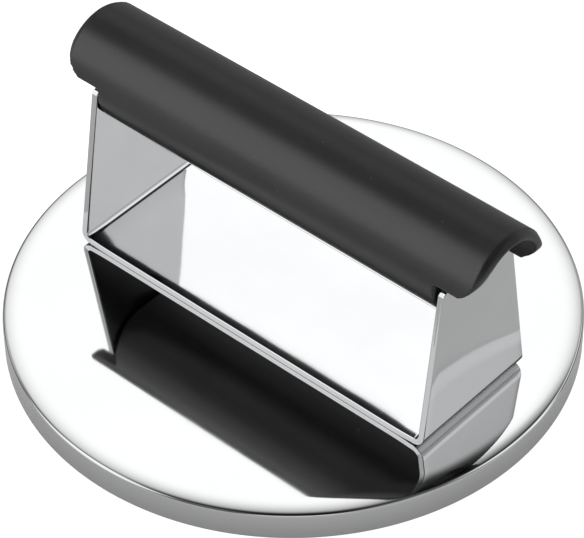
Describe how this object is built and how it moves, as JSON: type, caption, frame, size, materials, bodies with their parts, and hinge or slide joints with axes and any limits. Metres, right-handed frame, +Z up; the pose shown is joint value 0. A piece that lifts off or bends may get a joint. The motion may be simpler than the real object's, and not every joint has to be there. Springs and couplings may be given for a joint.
{
  "type": "patty press",
  "caption": "Round flat steel press plate with a bent strip bracket standing on it and a round soft black grip that overhangs both legs.",
  "frame": {"origin": "centre of the plate's flat underside", "axes": "+X along the grip, +Y across the grip, +Z up from the plate to the grip"},
  "size_m": [0.152, 0.152, 0.0717],
  "materials": {
    "plate_steel": "mirror polished stainless steel",
    "strip_steel": "bright polished stainless steel strip",
    "grip_silicone": "matte black silicone"
  },
  "bodies": {
    "root": {"press_plate": "plate_steel", "handle_bracket": "strip_steel", "grip_sleeve": "grip_silicone"}
  },
  "joints": []
}
